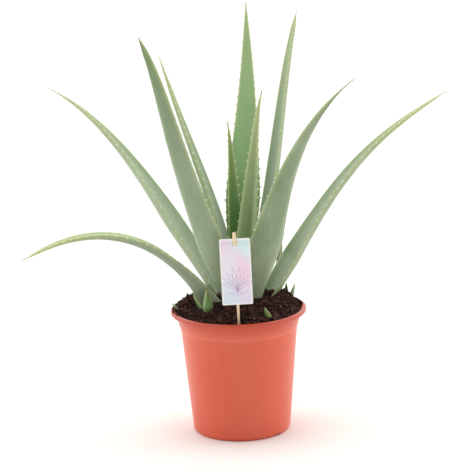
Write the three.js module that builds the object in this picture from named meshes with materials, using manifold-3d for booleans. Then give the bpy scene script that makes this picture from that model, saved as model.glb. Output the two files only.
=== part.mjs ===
// A young aloe in a plastic nursery pot: leaves in a rosette on a short rooted stem, offsets coming up
// round it, peat in the pot, and a card label threaded on a wooden stick.
// Millimetres, +Z up. The origin is the middle of the pot's underside, and the front is towards -Y.

import * as THREE from 'three';
import { mergeVertices } from 'three/addons/utils/BufferGeometryUtils.js';
import Module from 'manifold-3d';

const wasm = await Module();
wasm.setup();

// ---------------------------------------------------------------- driving dimensions

const touchGap = 0.35; // left between pieces that touch
const pocketGap = 0.55; // left round a slanting leaf surface, so that the true gap stays near touchGap

const pot = {
  height: 138.4,
  wall: 1.4,
  rimRadius: 75, // outside of the rolled rim
  rimWidth: 4.8, // across the rim's flat top
  rimHeight: 4.4,
  rimRound: 1.1,
  rimOverhang: 5.8, // the rim stands out this far from the flared collar under it
  collarFlare: 3.9, // the collar's top stands out this far from its bottom
  collarHeight: 17.2,
  stepDepth: 0.8, // the wall steps in below the collar
  wallBottomRadius: 54.2,
  footInset: 2.7, // the foot is this much narrower than the wall's bottom
  footHeight: 3,
  footWidth: 5.5, // the flat ring that the pot stands on
  channelWidth: 16, // raised drainage channel in the underside, inside the foot
  channelDepth: 3,
  channelSlope: 1.5,
  notchCount: 3, // drainage notches through the foot
  notchWidth: 9,
  notchHeight: 2.4,
  notchAngle: 317,
  slotCount: 9, // drainage slots through the channel's roof
  slotWidth: 3,
  slotLength: 10,
  segments: 48,
};

const soil = {
  edgeDrop: 1.8, // the peat's edge below the rim's top
  frontDrop: 2.4, // how much lower its edge is at the front, and higher at the back
  dome: 15.8, // the mound at the crown, above the edge
  domePower: 2.6,
  wallGap: 0.6, // between the peat and the pot
  segments: 40,
  rings: 7,
};

// Heaps and hollows in the peat: place, height and spread. The first ones are at x and y, and the others
// follow the pot's wall: inset is their distance from the peat's edge, at a compass angle.
const heapsByRosette = [
  { x: 20, y: -14, height: 4, spread: 9 },
  { x: 33, y: 6, height: -4, spread: 9 },
];
const heapsByWall = [
  { angle: 20.67, inset: 11.6, height: 10, spread: 14 },
  { angle: 170.7, inset: 6.4, height: 8.5, spread: 14 },
  { angle: 148, inset: 11.7, height: 5, spread: 14 },
  { angle: 270, inset: 6.3, height: -5, spread: 20 },
  { angle: 78.3, inset: 9, height: 3, spread: 15 },
];
const soilRipple = { height: 1.1, wave: 15 }; // small unevenness all over

// The rosette's axis where the leaves leave the peat. Its height is above the pot's rim.
const crown = { x: 5, y: 8, z: pot.height + 9.6 };
const crownWell = { radius: 17, overlap: 1, rise: 22 }; // space in the peat for the innermost leaf bases

const stem = {
  topDepth: 20, // the stem's top, below the crown point
  length: 58,
  topRadius: 12,
  shoulderRadius: 14,
  shoulderDepth: 28,
  bottomRadius: 6,
  rootCount: 6,
  rootRadius: 2.6,
  rootTipRadius: 0.8,
  rootReach: 36,
  rootDrop: 42,
};

const leafEdge = 0.9; // thickness of a leaf's margin
const leafStep = 16.5; // about one cross-section in this length
const claspLength = 0.4; // share of a leaf's length over which its clasp turns out
const twistStart = 0.05; // shares of a leaf's length between which its twist comes in
const twistEnd = 0.45;

// Leaves, from the inside of the rosette outwards. facing is the compass angle that the underside looks
// towards, anticlockwise from +X. seatRadius and seatDepth place the base from the crown point, and veer
// turns the lean away from facing. The lean from upright, in degrees, is
// lean + rise s + curl s^2 + hook s^6, where s runs from 0 at the base to 1 at the tip, and sweep turns
// the leaf sideways over its length. clasp turns the base alone, to wrap it further round the stem, and
// twist turns the rest about the leaf's own length. width is reached at the share peak of the length, from
// baseWidth at the base; taper above 1 makes the upper part slender. cup is the depth of the base's channel.
const leaves = [
  { name: 'leaf_inner_left', facing: 103, seatRadius: 0.2, seatDepth: 7, veer: 62, length: 206,
    lean: 3.6, rise: -1.2, curl: -3.3, hook: 7.9, sweep: 0, clasp: 0, twist: 0,
    baseWidth: 11, width: 18, peak: 0.33, taper: 0.9, baseThickness: 3.4, thickness: 4.8, cup: 1 },
  { name: 'leaf_inner_front', facing: 293, seatRadius: 1.6, seatDepth: 7, veer: 31.5, length: 245,
    lean: 2.8, rise: 21.5, curl: -25.3, hook: 19.7, sweep: 1, clasp: 0, twist: 0,
    baseWidth: 12, width: 23, peak: 0.34, taper: 0.92, baseThickness: 3.6, thickness: 8, cup: 1 },
  { name: 'leaf_centre_back', facing: 87, seatRadius: 6.4, seatDepth: 9, veer: -40, length: 335,
    lean: -3, rise: 42.5, curl: -49, hook: 10, sweep: -1, clasp: 0, twist: 0,
    baseWidth: 19, width: 37, peak: 0.38, taper: 1, baseThickness: 4.4, thickness: 11, cup: 3 },
  { name: 'leaf_back_right', facing: 28, seatRadius: 10.8, seatDepth: 10, veer: 4, length: 329,
    lean: 13.3, rise: -6.4, curl: 3, hook: 9.8, sweep: 1.4, clasp: 0, twist: -4,
    baseWidth: 17, width: 27, peak: 0.28, taper: 0.6, baseThickness: 5, thickness: 7.8, cup: 3.5 },
  { name: 'leaf_back_left', facing: 158, seatRadius: 10.8, seatDepth: 10, veer: -6, length: 292,
    lean: -3.5, rise: 87.5, curl: -76.8, hook: 14.6, sweep: 1.5, clasp: 0, twist: 6,
    baseWidth: 17, width: 24, peak: 0.22, taper: 0.88, baseThickness: 5, thickness: 8.6, cup: 3.5 },
  { name: 'leaf_front_left', facing: 230, seatRadius: 12, seatDepth: 14, veer: 2, length: 351,
    lean: 22.2, rise: 22, curl: -45.3, hook: 35.8, sweep: -6.7, clasp: 0, twist: 0,
    baseWidth: 19, width: 37.5, peak: 0.27, taper: 0.67, baseThickness: 6, thickness: 12.2, cup: 4.2 },
  { name: 'leaf_front_right', facing: 305, seatRadius: 13, seatDepth: 14, veer: -3, length: 356,
    lean: 22.3, rise: -7, curl: 55, hook: -9.5, sweep: 2, clasp: 0, twist: 0,
    baseWidth: 19, width: 43, peak: 0.28, taper: 1.44, baseThickness: 6, thickness: 12.8, cup: 4.2 },
  { name: 'leaf_upper_left', facing: 153.5, seatRadius: 14, seatDepth: 12, veer: 1.6, length: 329,
    lean: 34.8, rise: -12.5, curl: 38, hook: 10, sweep: 2, clasp: 0, twist: 8,
    baseWidth: 24, width: 35, peak: 0.37, taper: 1.2, baseThickness: 6, thickness: 10.7, cup: 5.7 },
  { name: 'leaf_far_right', facing: 23.5, seatRadius: 20, seatDepth: 12, veer: -2.2, length: 329,
    lean: 37.4, rise: -27, curl: 79.5, hook: -26, sweep: -2, clasp: 0, twist: -9,
    baseWidth: 26, width: 37, peak: 0.21, taper: 0.9, baseThickness: 6, thickness: 9, cup: 5.7 },
  { name: 'leaf_arching_left', facing: 200.5, seatRadius: 28, seatDepth: 18, veer: -1, length: 274,
    lean: 24.3, rise: 59.5, curl: 52.3, hook: -21.6, sweep: 6.3, clasp: 26, twist: -5,
    baseWidth: 40, width: 24, peak: 0.165, taper: 0.79, baseThickness: 6.4, thickness: 9, cup: 5.2 },
];

// Offsets: young shoots that stand in the peat, with a tilt towards the compass angle facing.
// The first ones come up beside the rosette, at x and y.
const offsetsByLeaves = [
  { name: 'offset_left_dark', x: -39, y: -24, facing: 182, tilt: 33,
    height: 19, width: 11, thickness: 4 },
  { name: 'offset_left_bright', x: -33.4, y: -32.1, facing: 275, tilt: 3,
    height: 25, width: 10.5, thickness: 6 },
];
// The others come up by the pot's wall: inset is their distance from the peat's edge, either at a compass
// angle or aside from the middle line of a leaf.
const offsetsByWall = [
  { name: 'offset_front_right', angle: 305.24, inset: 11.54, facing: 215, tilt: 28,
    height: 11, width: 7.5, thickness: 4.5 },
  { name: 'offset_rim_left', angle: 180, inset: 0.86, facing: 185, tilt: 46,
    height: 8.5, width: 6, thickness: 3 },
  { name: 'offset_back_left', angle: 157.31, inset: 8.24, facing: 170, tilt: 10,
    height: 5.5, width: 4.5, thickness: 2.6 },
  { name: 'offset_back_tall', leaf: 'leaf_far_right', aside: 23.4, inset: 4.9, facing: 25, tilt: 8.5,
    height: 71, width: 12, thickness: 5 },
  { name: 'offset_back_right', angle: 29.05, inset: 6.08, facing: 60, tilt: 4,
    height: 11, width: 5.5, thickness: 3 },
  { name: 'offset_rim_right', angle: 18.73, inset: 5.56, facing: 20, tilt: 24,
    height: 12.5, width: 5, thickness: 3 },
];
const offsetRoot = 7; // length of an offset below the peat's surface
const offsetStations = 6;

const label = {
  width: 33,
  height: 73.6,
  thickness: 0.5,
  cornerRadius: 1.2,
  bendHeight: 66.4, // above this the card bends back, and the stick comes through to its front
  bendLength: 4,
  bottomRise: 20, // its bottom is this far above the pot's rim
  slotSideGap: 0.4,
  slotEndGap: 0.6,
};
const stick = {
  width: 4.2, // at the top
  footWidth: 2, // tapers to this above its point
  thickness: 1.4,
  length: 150,
  topRise: 101.2, // its top is this far above the pot's rim
  tipRound: 3.2, // length of the rounded top
  pointLength: 9, // length of the point in the peat
  x: -2.2, // at the top
  footGap: 3.9, // from its foot's middle to the pot's wall
  tilt: 1.2, // leans to the left
  recline: 4, // its foot is further back than its top
};

// ---------------------------------------------------------------- helpers

const radians = THREE.MathUtils.degToRad;

function smooth(t) {
  const clamped = THREE.MathUtils.clamp(t, 0, 1);
  return clamped * clamped * (3 - 2 * clamped);
}

function mix(from, to, share) {
  return from + (to - from) * share;
}

// A closed skin over rings of equal count, ending in one point at each end.
function skin(startPole, rings, endPole) {
  const count = rings[0].length;
  const points = [startPole, ...rings.flat(), endPole];
  const last = points.length - 1;
  const index = [];
  for (let side = 0; side < count; side++) {
    const next = (side + 1) % count;
    index.push(0, 1 + next, 1 + side);
    for (let ring = 0; ring < rings.length - 1; ring++) {
      const low = 1 + ring * count;
      const high = low + count;
      index.push(low + side, low + next, high + next);
      index.push(low + side, high + next, high + side);
    }
    const top = 1 + (rings.length - 1) * count;
    index.push(last, top + side, top + next);
  }
  const geometry = new THREE.BufferGeometry().setFromPoints(points);
  geometry.setIndex(index);
  return geometry;
}

function circle(radius, z, count) {
  return Array.from({ length: count }, (_, i) => {
    const angle = (2 * Math.PI * i) / count;
    return new THREE.Vector3(radius * Math.cos(angle), radius * Math.sin(angle), z);
  });
}

// Turns a closed geometry into a solid that can be joined or cut.
function toSolid(geometry, matrix = new THREE.Matrix4()) {
  const bare = geometry.clone().applyMatrix4(matrix);
  bare.deleteAttribute('normal');
  bare.deleteAttribute('uv');
  const merged = mergeVertices(bare, 1e-5);
  return new wasm.Manifold(new wasm.Mesh({
    numProp: 3,
    vertProperties: new Float32Array(merged.attributes.position.array),
    triVerts: new Uint32Array(merged.index.array),
  }));
}

function toGeometry(solid) {
  const mesh = solid.getMesh();
  const geometry = new THREE.BufferGeometry();
  geometry.setAttribute('position', new THREE.BufferAttribute(mesh.vertProperties, 3));
  geometry.setIndex(new THREE.BufferAttribute(mesh.triVerts, 1));
  return geometry;
}

function makeMesh(name, geometry, color, roughness) {
  const ready = geometry.index ? geometry : mergeVertices(geometry);
  ready.computeVertexNormals();
  const material = new THREE.MeshStandardMaterial({ color, roughness, metalness: 0 });
  const mesh = new THREE.Mesh(ready, material);
  mesh.name = name;
  return mesh;
}

// ---------------------------------------------------------------- pot

const stepZ = pot.height - pot.rimHeight - pot.collarHeight;
const rimInnerRadius = pot.rimRadius - pot.rimWidth;
const collarTopRadius = pot.rimRadius - pot.rimOverhang;
const collarBottomRadius = collarTopRadius - pot.collarFlare;
const wallTopRadius = collarBottomRadius - pot.stepDepth;
const footRadius = pot.wallBottomRadius - pot.footInset;
const channelOuterRadius = footRadius - pot.footWidth;
const channelInnerRadius = channelOuterRadius - pot.channelWidth;
const floorZ = pot.channelDepth + pot.wall;

// The pot's inside, from the rim down to the middle of the floor, moved inwards by gap.
function potInside(gap) {
  return [
    [rimInnerRadius - gap, pot.height - pot.rimRound],
    [collarTopRadius - pot.wall - gap, pot.height - pot.rimHeight - pot.wall],
    [collarBottomRadius - pot.wall - gap, stepZ + pot.stepDepth],
    [wallTopRadius - pot.wall - gap, stepZ],
    [pot.wallBottomRadius - pot.wall - gap, floorZ + gap],
    [channelInnerRadius - gap, floorZ + gap],
    [channelInnerRadius - pot.channelSlope - gap, pot.wall + gap],
  ];
}

// The radius of the pot's inside at height z, and inside the rim for a z above it.
function potInsideRadius(z) {
  const wall = potInside(0);
  if (z >= wall[0][1]) return wall[0][0];
  const below = wall.findIndex(([, height]) => height <= z);
  const [highRadius, highZ] = wall[below - 1];
  const [lowRadius, lowZ] = wall[below];
  return mix(lowRadius, highRadius, (z - lowZ) / (highZ - lowZ));
}

function potSolid() {
  const rimTop = pot.height;
  const rimBottom = pot.height - pot.rimHeight;
  const outline = [
    [0, 0],
    [channelInnerRadius, 0],
    [channelInnerRadius + pot.channelSlope, pot.channelDepth],
    [channelOuterRadius - pot.channelSlope, pot.channelDepth],
    [channelOuterRadius, 0],
    [footRadius, 0],
    [pot.wallBottomRadius, pot.footHeight],
    [wallTopRadius, stepZ],
    [collarBottomRadius, stepZ + pot.stepDepth],
    [collarTopRadius, rimBottom],
    [pot.rimRadius - pot.rimRound, rimBottom],
    [pot.rimRadius, rimBottom + pot.rimRound],
    [pot.rimRadius, rimTop - pot.rimRound],
    [pot.rimRadius - pot.rimRound, rimTop],
    [rimInnerRadius + pot.rimRound, rimTop],
    ...potInside(0),
    [0, pot.wall],
  ];
  const profile = outline.map(([radius, z]) => new THREE.Vector2(radius, z));
  const lathe = new THREE.LatheGeometry(profile, pot.segments).rotateX(Math.PI / 2);
  let solid = toSolid(lathe);

  const notchLength = pot.wallBottomRadius - channelOuterRadius + 2 * pot.channelSlope;
  const notchBox = new THREE.BoxGeometry(notchLength * 2, pot.notchWidth, pot.notchHeight * 2);
  for (let i = 0; i < pot.notchCount; i++) {
    const turn = new THREE.Matrix4().makeRotationZ(radians(pot.notchAngle + (360 * i) / pot.notchCount));
    const shift = new THREE.Matrix4().makeTranslation(pot.wallBottomRadius, 0, 0);
    solid = solid.subtract(toSolid(notchBox, turn.multiply(shift)));
  }

  const slotRadius = (channelInnerRadius + channelOuterRadius) / 2;
  const slotBox = new THREE.BoxGeometry(pot.slotLength, pot.slotWidth, 4 * pot.wall);
  for (let i = 0; i < pot.slotCount; i++) {
    const turn = new THREE.Matrix4().makeRotationZ((2 * Math.PI * i) / pot.slotCount);
    const shift = new THREE.Matrix4().makeTranslation(slotRadius, 0, floorZ);
    solid = solid.subtract(toSolid(slotBox, turn.multiply(shift)));
  }
  return solid;
}

// ---------------------------------------------------------------- leaves and offsets

// One cross-section: a crescent with a blunt margin on each side, 12 points anticlockwise seen from
// the tip. grow makes it larger all round, for the pockets that leaves sit in.
function crescent(frame, halfWidth, thickness, channel, edge, grow) {
  const half = halfWidth + grow;
  const blunt = edge / 2 + grow;
  const inner = (x) => -channel * (1 - x * x) + blunt;
  const outer = (x) => -channel * (1 - x * x) - thickness * (1 - x * x) ** 0.75 - blunt;
  const upper = [1, 0.55, 0, -0.55, -1].map((x) => [x, inner(x)]);
  const lower = [-1, -0.88, -0.5, 0, 0.5, 0.88, 1].map((x) => [x, outer(x)]);
  return [...upper, ...lower].map(([x, height]) => frame.origin.clone()
    .addScaledVector(frame.across, x * half)
    .addScaledVector(frame.inward, height));
}

function directionOf(lean, compass) {
  return new THREE.Vector3(
    Math.sin(lean) * Math.cos(compass), Math.sin(lean) * Math.sin(compass), Math.cos(lean));
}

// The leaf's frame at s of its length, in the leaf's own axes: it faces +X, and Z is up.
function leafFrames(leaf, stations) {
  const fine = 8;
  const step = leaf.length / (stations * fine);
  const place = new THREE.Vector3(leaf.seatRadius, 0, -leaf.seatDepth);
  const frames = [];
  for (let i = 0; i <= stations * fine; i++) {
    const s = i / (stations * fine);
    const lean = radians(leaf.lean + leaf.rise * s + leaf.curl * s ** 2 + leaf.hook * s ** 6);
    const compass = radians(leaf.veer + leaf.sweep * s);
    const along = directionOf(lean, compass);
    if (i % fine === 0) {
      const side = radians(leaf.sweep * s + leaf.clasp * (1 - smooth(s / claspLength)));
      const across = new THREE.Vector3(-Math.sin(side), Math.cos(side), 0);
      across.addScaledVector(along, -across.dot(along)).normalize();
      const twist = radians(leaf.twist) * smooth((s - twistStart) / (twistEnd - twistStart));
      across.applyAxisAngle(along, twist);
      const inward = new THREE.Vector3().crossVectors(along, across);
      frames.push({ s, origin: place.clone(), along, across, inward });
    }
    place.addScaledVector(along, step);
  }
  return frames;
}

function leafWidth(leaf, s) {
  if (s < leaf.peak) return mix(leaf.baseWidth, leaf.width, smooth(s / leaf.peak));
  return leaf.width * ((1 - s) / (1 - leaf.peak)) ** leaf.taper;
}

function leafGeometry(leaf, grow = 0) {
  const stations = Math.max(8, Math.round(leaf.length / leafStep));
  const frames = leafFrames(leaf, stations);
  const baseLength = 0.22; // share of the length over which the clasping base opens out
  const rings = frames.slice(0, -1).map((frame) => {
    const open = smooth(frame.s / baseLength);
    const width = leafWidth(leaf, frame.s);
    const fullness = width / leaf.width;
    const thickness = mix(leaf.baseThickness, leaf.thickness * fullness ** 0.8, open);
    const channel = mix(leaf.cup, 0.07 * width, open);
    const edge = Math.min(leafEdge, 0.25 * width);
    return crescent(frame, width / 2, thickness, channel, edge, grow);
  });
  const first = frames[0];
  const bodyDepth = leaf.cup + leaf.baseThickness / 2;
  const startPole = first.origin.clone().addScaledVector(first.inward, -bodyDepth);
  const tip = frames[frames.length - 1];
  const endPole = tip.origin.clone().addScaledVector(tip.along, grow);
  if (grow > 0) {
    startPole.addScaledVector(first.along, -grow);
    rings[0].forEach((point) => point.addScaledVector(first.along, -grow));
  }
  return skin(startPole, rings, endPole);
}

function leafMatrix(leaf) {
  return new THREE.Matrix4().makeTranslation(crown.x, crown.y, crown.z)
    .multiply(new THREE.Matrix4().makeRotationZ(radians(leaf.facing)));
}

// An offset is a small leaf shoot: widest just above the peat, with a pointed tip.
function offsetGeometry(offset, grow = 0) {
  const length = offsetRoot + offset.height;
  const rings = [];
  const along = new THREE.Vector3(0, 0, 1);
  const across = new THREE.Vector3(0, 1, 0);
  const inward = new THREE.Vector3(-1, 0, 0);
  for (let i = 0; i < offsetStations; i++) {
    const s = i / offsetStations;
    const z = s * length - offsetRoot - (i === 0 ? grow : 0);
    const frame = { origin: new THREE.Vector3(0, 0, z), along, across, inward };
    const fullness = s < 0.35 ? mix(0.6, 1, smooth(s / 0.35)) : ((1 - s) / 0.65) ** 0.75;
    const width = offset.width * fullness;
    const edge = Math.min(leafEdge, 0.2 * width);
    rings.push(crescent(frame, width / 2, offset.thickness * fullness, 0.06 * width, edge, grow));
  }
  const startPole = new THREE.Vector3(offset.thickness / 4, 0, -offsetRoot - grow);
  return skin(startPole, rings, new THREE.Vector3(0, 0, offset.height + grow));
}

// Gives a thing that stands by the pot's wall its x and y.
function placedByWall(thing) {
  const radius = soilRadius - thing.inset;
  if (!thing.leaf) {
    const angle = radians(thing.angle);
    return { ...thing, x: radius * Math.cos(angle), y: radius * Math.sin(angle) };
  }
  const leaf = leaves.find(({ name }) => name === thing.leaf);
  const heading = radians(leaf.facing + leaf.veer);
  const startX = crown.x - thing.aside * Math.sin(heading);
  const startY = crown.y + thing.aside * Math.cos(heading);
  const ahead = startX * Math.cos(heading) + startY * Math.sin(heading);
  const reach = -ahead + Math.sqrt(ahead ** 2 + radius ** 2 - startX ** 2 - startY ** 2);
  return { ...thing, x: startX + reach * Math.cos(heading), y: startY + reach * Math.sin(heading) };
}

function offsetMatrix(offset) {
  const z = soilHeight(offset.x, offset.y);
  return new THREE.Matrix4().makeTranslation(offset.x, offset.y, z)
    .multiply(new THREE.Matrix4().makeRotationZ(radians(offset.facing)))
    .multiply(new THREE.Matrix4().makeRotationY(radians(offset.tilt)));
}

// ---------------------------------------------------------------- stem and roots

function rootRings(turn, grow) {
  const start = new THREE.Vector3(0, 0, -stem.length + 6);
  const bend = new THREE.Vector3(stem.rootReach * 0.75, 0, -stem.length + 2);
  const end = new THREE.Vector3(stem.rootReach, 0, -stem.length - stem.rootDrop);
  const curve = new THREE.QuadraticBezierCurve3(start, bend, end);
  const steps = 6;
  const sides = 6;
  const rings = [];
  for (let i = 0; i < steps; i++) {
    const t = i / steps;
    const radius = mix(stem.rootRadius, stem.rootTipRadius, t) + grow;
    const along = curve.getTangent(t);
    const across = new THREE.Vector3(0, 1, 0);
    const up = new THREE.Vector3().crossVectors(along, across);
    const centre = curve.getPoint(t);
    rings.push(Array.from({ length: sides }, (_, k) => {
      const angle = (2 * Math.PI * k) / sides;
      return centre.clone().addScaledVector(across, radius * Math.cos(angle))
        .addScaledVector(up, radius * Math.sin(angle));
    }));
  }
  const tip = end.clone().addScaledVector(curve.getTangent(1), grow);
  return toSolid(skin(start, rings, tip), new THREE.Matrix4().makeRotationZ(turn));
}

// The stem and its roots, hanging below the crown point.
function stemSolid(grow) {
  const outline = [
    [0, -stem.length - grow],
    [stem.bottomRadius + grow, -stem.length + 3 - grow],
    [stem.shoulderRadius + grow, -stem.shoulderDepth],
    [stem.topRadius + grow, -stem.topDepth - 1.5 + grow],
    [stem.topRadius - 2 + grow, -stem.topDepth + grow],
    [0, -stem.topDepth + grow],
  ];
  const profile = outline.map(([radius, z]) => new THREE.Vector2(radius, z));
  let solid = toSolid(new THREE.LatheGeometry(profile, 16).rotateX(Math.PI / 2));
  for (let i = 0; i < stem.rootCount; i++) {
    solid = solid.add(rootRings((2 * Math.PI * (i + 0.25)) / stem.rootCount, grow));
  }
  return solid.translate([crown.x, crown.y, crown.z]);
}

// ---------------------------------------------------------------- peat

const soilEdgeZ = pot.height - soil.edgeDrop - soil.frontDrop; // the peat's edge at the front, without heaps
const soilRadius = potInsideRadius(soilEdgeZ) - soil.wallGap;
const soilHeaps = [...heapsByRosette, ...heapsByWall.map(placedByWall)];

function soilHeight(x, y) {
  const share = Math.min(1, Math.hypot(x, y) / soilRadius);
  const edge = pot.height - soil.edgeDrop + (soil.frontDrop * y) / soilRadius;
  let height = edge + soil.dome * (1 - share ** soil.domePower);
  const fade = 1 - share ** 8;
  for (const heap of soilHeaps) {
    const distance = Math.hypot(x - heap.x, y - heap.y) / heap.spread;
    height += heap.height * Math.exp(-distance * distance) * mix(0.6, 1, fade);
  }
  const ripple = Math.sin(x / soilRipple.wave * 2.3 + 1) * Math.cos(y / soilRipple.wave * 1.9 - 2)
    + Math.sin((x + 2 * y) / soilRipple.wave);
  return height + soilRipple.height * ripple * fade;
}

function soilSolid(buried) {
  const edge = circle(soilRadius, 0, soil.segments).map((point) => {
    const z = soilHeight(point.x, point.y);
    return point.setLength(potInsideRadius(z) - soil.wallGap).setZ(z);
  });
  const sideTopZ = Math.min(...edge.map((point) => point.z)) - soil.wallGap;
  const inside = potInside(soil.wallGap).reverse().filter(([, z]) => z < sideTopZ);
  inside.push([potInsideRadius(sideTopZ) - soil.wallGap, sideTopZ]);
  const rings = inside.map(([radius, z]) => circle(radius, z, soil.segments));
  rings.push(edge);
  for (let ring = 1; ring < soil.rings; ring++) {
    const radius = soilRadius * (1 - ring / soil.rings);
    rings.push(circle(radius, 0, soil.segments)
      .map((point) => point.setZ(soilHeight(point.x, point.y))));
  }
  const bottom = new THREE.Vector3(0, 0, inside[0][1]);
  const top = new THREE.Vector3(0, 0, soilHeight(0, 0));
  let solid = toSolid(skin(bottom, rings, top));
  for (const piece of buried) solid = solid.subtract(piece);
  return solid;
}

function crownWellSolid() {
  const bottom = -stem.topDepth - crownWell.overlap;
  const low = circle(stem.topRadius, bottom, 20);
  const high = circle(crownWell.radius, crownWell.rise, 20);
  const geometry = skin(
    new THREE.Vector3(0, 0, bottom), [low, high], new THREE.Vector3(0, 0, crownWell.rise));
  return toSolid(geometry, new THREE.Matrix4().makeTranslation(crown.x, crown.y, crown.z));
}

// ---------------------------------------------------------------- label and stick

// The stick stands in the XZ plane of its own axes with its top's middle at the origin.
function stickGeometry(grow = 0) {
  const half = stick.width / 2 + grow;
  const footHalf = stick.footWidth / 2 + grow;
  const shape = new THREE.Shape();
  shape.moveTo(0, -stick.length - grow);
  shape.lineTo(footHalf, -stick.length + stick.pointLength);
  shape.lineTo(half, -stick.tipRound);
  shape.quadraticCurveTo(half, grow, 0, grow);
  shape.quadraticCurveTo(-half, grow, -half, -stick.tipRound);
  shape.lineTo(-footHalf, -stick.length + stick.pointLength);
  shape.closePath();
  const depth = stick.thickness + 2 * grow;
  const geometry = new THREE.ExtrudeGeometry(shape, { depth, bevelEnabled: false, curveSegments: 6 });
  return geometry.translate(0, 0, -depth / 2).rotateX(Math.PI / 2);
}

// The card hangs in the stick's axes. Below the bend it is in front of the stick, and above it behind.
function labelSolid() {
  const bottom = label.bottomRise - stick.topRise;
  const offsetY = (stick.thickness + label.thickness) / 2 + touchGap;
  const spine = [
    [-offsetY, bottom],
    [-offsetY, bottom + label.bendHeight],
    [offsetY, bottom + label.bendHeight + label.bendLength],
    [offsetY, bottom + label.height],
  ];
  const band = new THREE.Shape();
  spine.forEach(([y, z], i) => {
    if (i === 0) band.moveTo(y - label.thickness / 2, z);
    else band.lineTo(y - label.thickness / 2, z);
  });
  [...spine].reverse().forEach(([y, z]) => band.lineTo(y + label.thickness / 2, z));
  band.closePath();
  const card = new THREE.ExtrudeGeometry(band, { depth: label.width, bevelEnabled: false })
    .translate(0, 0, -label.width / 2)
    .rotateX(Math.PI / 2)
    .rotateZ(Math.PI / 2);
  // The band was drawn in Y and Z and is now extruded along X.
  const outline = new THREE.Shape();
  const half = label.width / 2;
  const round = label.cornerRadius;
  const top = bottom + label.height;
  outline.moveTo(-half + round, bottom);
  outline.lineTo(half - round, bottom);
  outline.quadraticCurveTo(half, bottom, half, bottom + round);
  outline.lineTo(half, top - round);
  outline.quadraticCurveTo(half, top, half - round, top);
  outline.lineTo(-half + round, top);
  outline.quadraticCurveTo(-half, top, -half, top - round);
  outline.lineTo(-half, bottom + round);
  outline.quadraticCurveTo(-half, bottom, -half + round, bottom);
  const cutter = new THREE.ExtrudeGeometry(outline, { depth: 20, bevelEnabled: false, curveSegments: 4 })
    .translate(0, 0, -10)
    .rotateX(Math.PI / 2);
  const slotLength = label.bendLength + 2 * label.slotEndGap;
  const slot = new THREE.BoxGeometry(stick.width + 2 * label.slotSideGap, 20, slotLength)
    .translate(0, 0, bottom + label.bendHeight + label.bendLength / 2);
  return toSolid(card).intersect(toSolid(cutter)).subtract(toSolid(slot));
}

// ---------------------------------------------------------------- assembly

const colors = {
  pot: 0xd4674e, soil: 0x33211b, stem: 0x8a8f5a, label: 0xe9e4f2, stick: 0xf0d9a8,
  leaf: 0x8fa886, innerLeaf: 0x84a56f, offset: 0x6f9a45,
};

const plant = new THREE.Group();

const labelGroup = new THREE.Group();
const stickTopZ = pot.height + stick.topRise;
const stickFootZ = stickTopZ - stick.length * Math.cos(radians(stick.recline));
const stickFootY = stick.footGap - potInsideRadius(stickFootZ);
labelGroup.position.set(stick.x, stickFootY - stick.length * Math.sin(radians(stick.recline)), stickTopZ);
labelGroup.rotation.set(radians(stick.recline), -radians(stick.tilt), 0);
labelGroup.add(makeMesh('label_stick', stickGeometry(), colors.stick, 0.7));
labelGroup.add(makeMesh('plant_label', toGeometry(labelSolid()), colors.label, 0.4));
labelGroup.updateMatrix();
plant.add(labelGroup);

const leafGroup = new THREE.Group();
leafGroup.position.set(crown.x, crown.y, crown.z);
for (const leaf of leaves) {
  const isInner = leaf.name.includes('inner');
  const mesh = makeMesh(leaf.name, leafGeometry(leaf), isInner ? colors.innerLeaf : colors.leaf, 0.45);
  mesh.rotation.z = radians(leaf.facing);
  leafGroup.add(mesh);
}
plant.add(leafGroup);

const offsets = [...offsetsByLeaves, ...offsetsByWall.map(placedByWall)];
for (const offset of offsets) {
  const mesh = makeMesh(offset.name, offsetGeometry(offset), colors.offset, 0.4);
  offsetMatrix(offset).decompose(mesh.position, mesh.quaternion, mesh.scale);
  plant.add(mesh);
}

const leafPockets = leaves.map((leaf) => toSolid(leafGeometry(leaf, pocketGap), leafMatrix(leaf)));
const offsetPockets = offsets.map((offset) => (
  toSolid(offsetGeometry(offset, pocketGap), offsetMatrix(offset))));
const stickPocket = toSolid(stickGeometry(touchGap), labelGroup.matrix);

let stemBody = stemSolid(0);
for (const pocket of leafPockets) stemBody = stemBody.subtract(pocket);
plant.add(makeMesh('stem_and_roots', toGeometry(stemBody), colors.stem, 0.8));

const buried = [...leafPockets, ...offsetPockets, stickPocket, stemSolid(touchGap), crownWellSolid()];
plant.add(makeMesh('peat', toGeometry(soilSolid(buried)), colors.soil, 0.95));
plant.add(makeMesh('pot', toGeometry(potSolid()), colors.pot, 0.35));

export default plant;
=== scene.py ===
# The looks of a potted aloe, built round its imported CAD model.
# Metres, +Z up, the front towards -Y. Leaves and shoots take their shape from the CAD solids.

import math
import random

import bmesh
import bpy
import numpy as np
from mathutils import Matrix, Vector, noise
from mathutils.bvhtree import BVHTree


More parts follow.
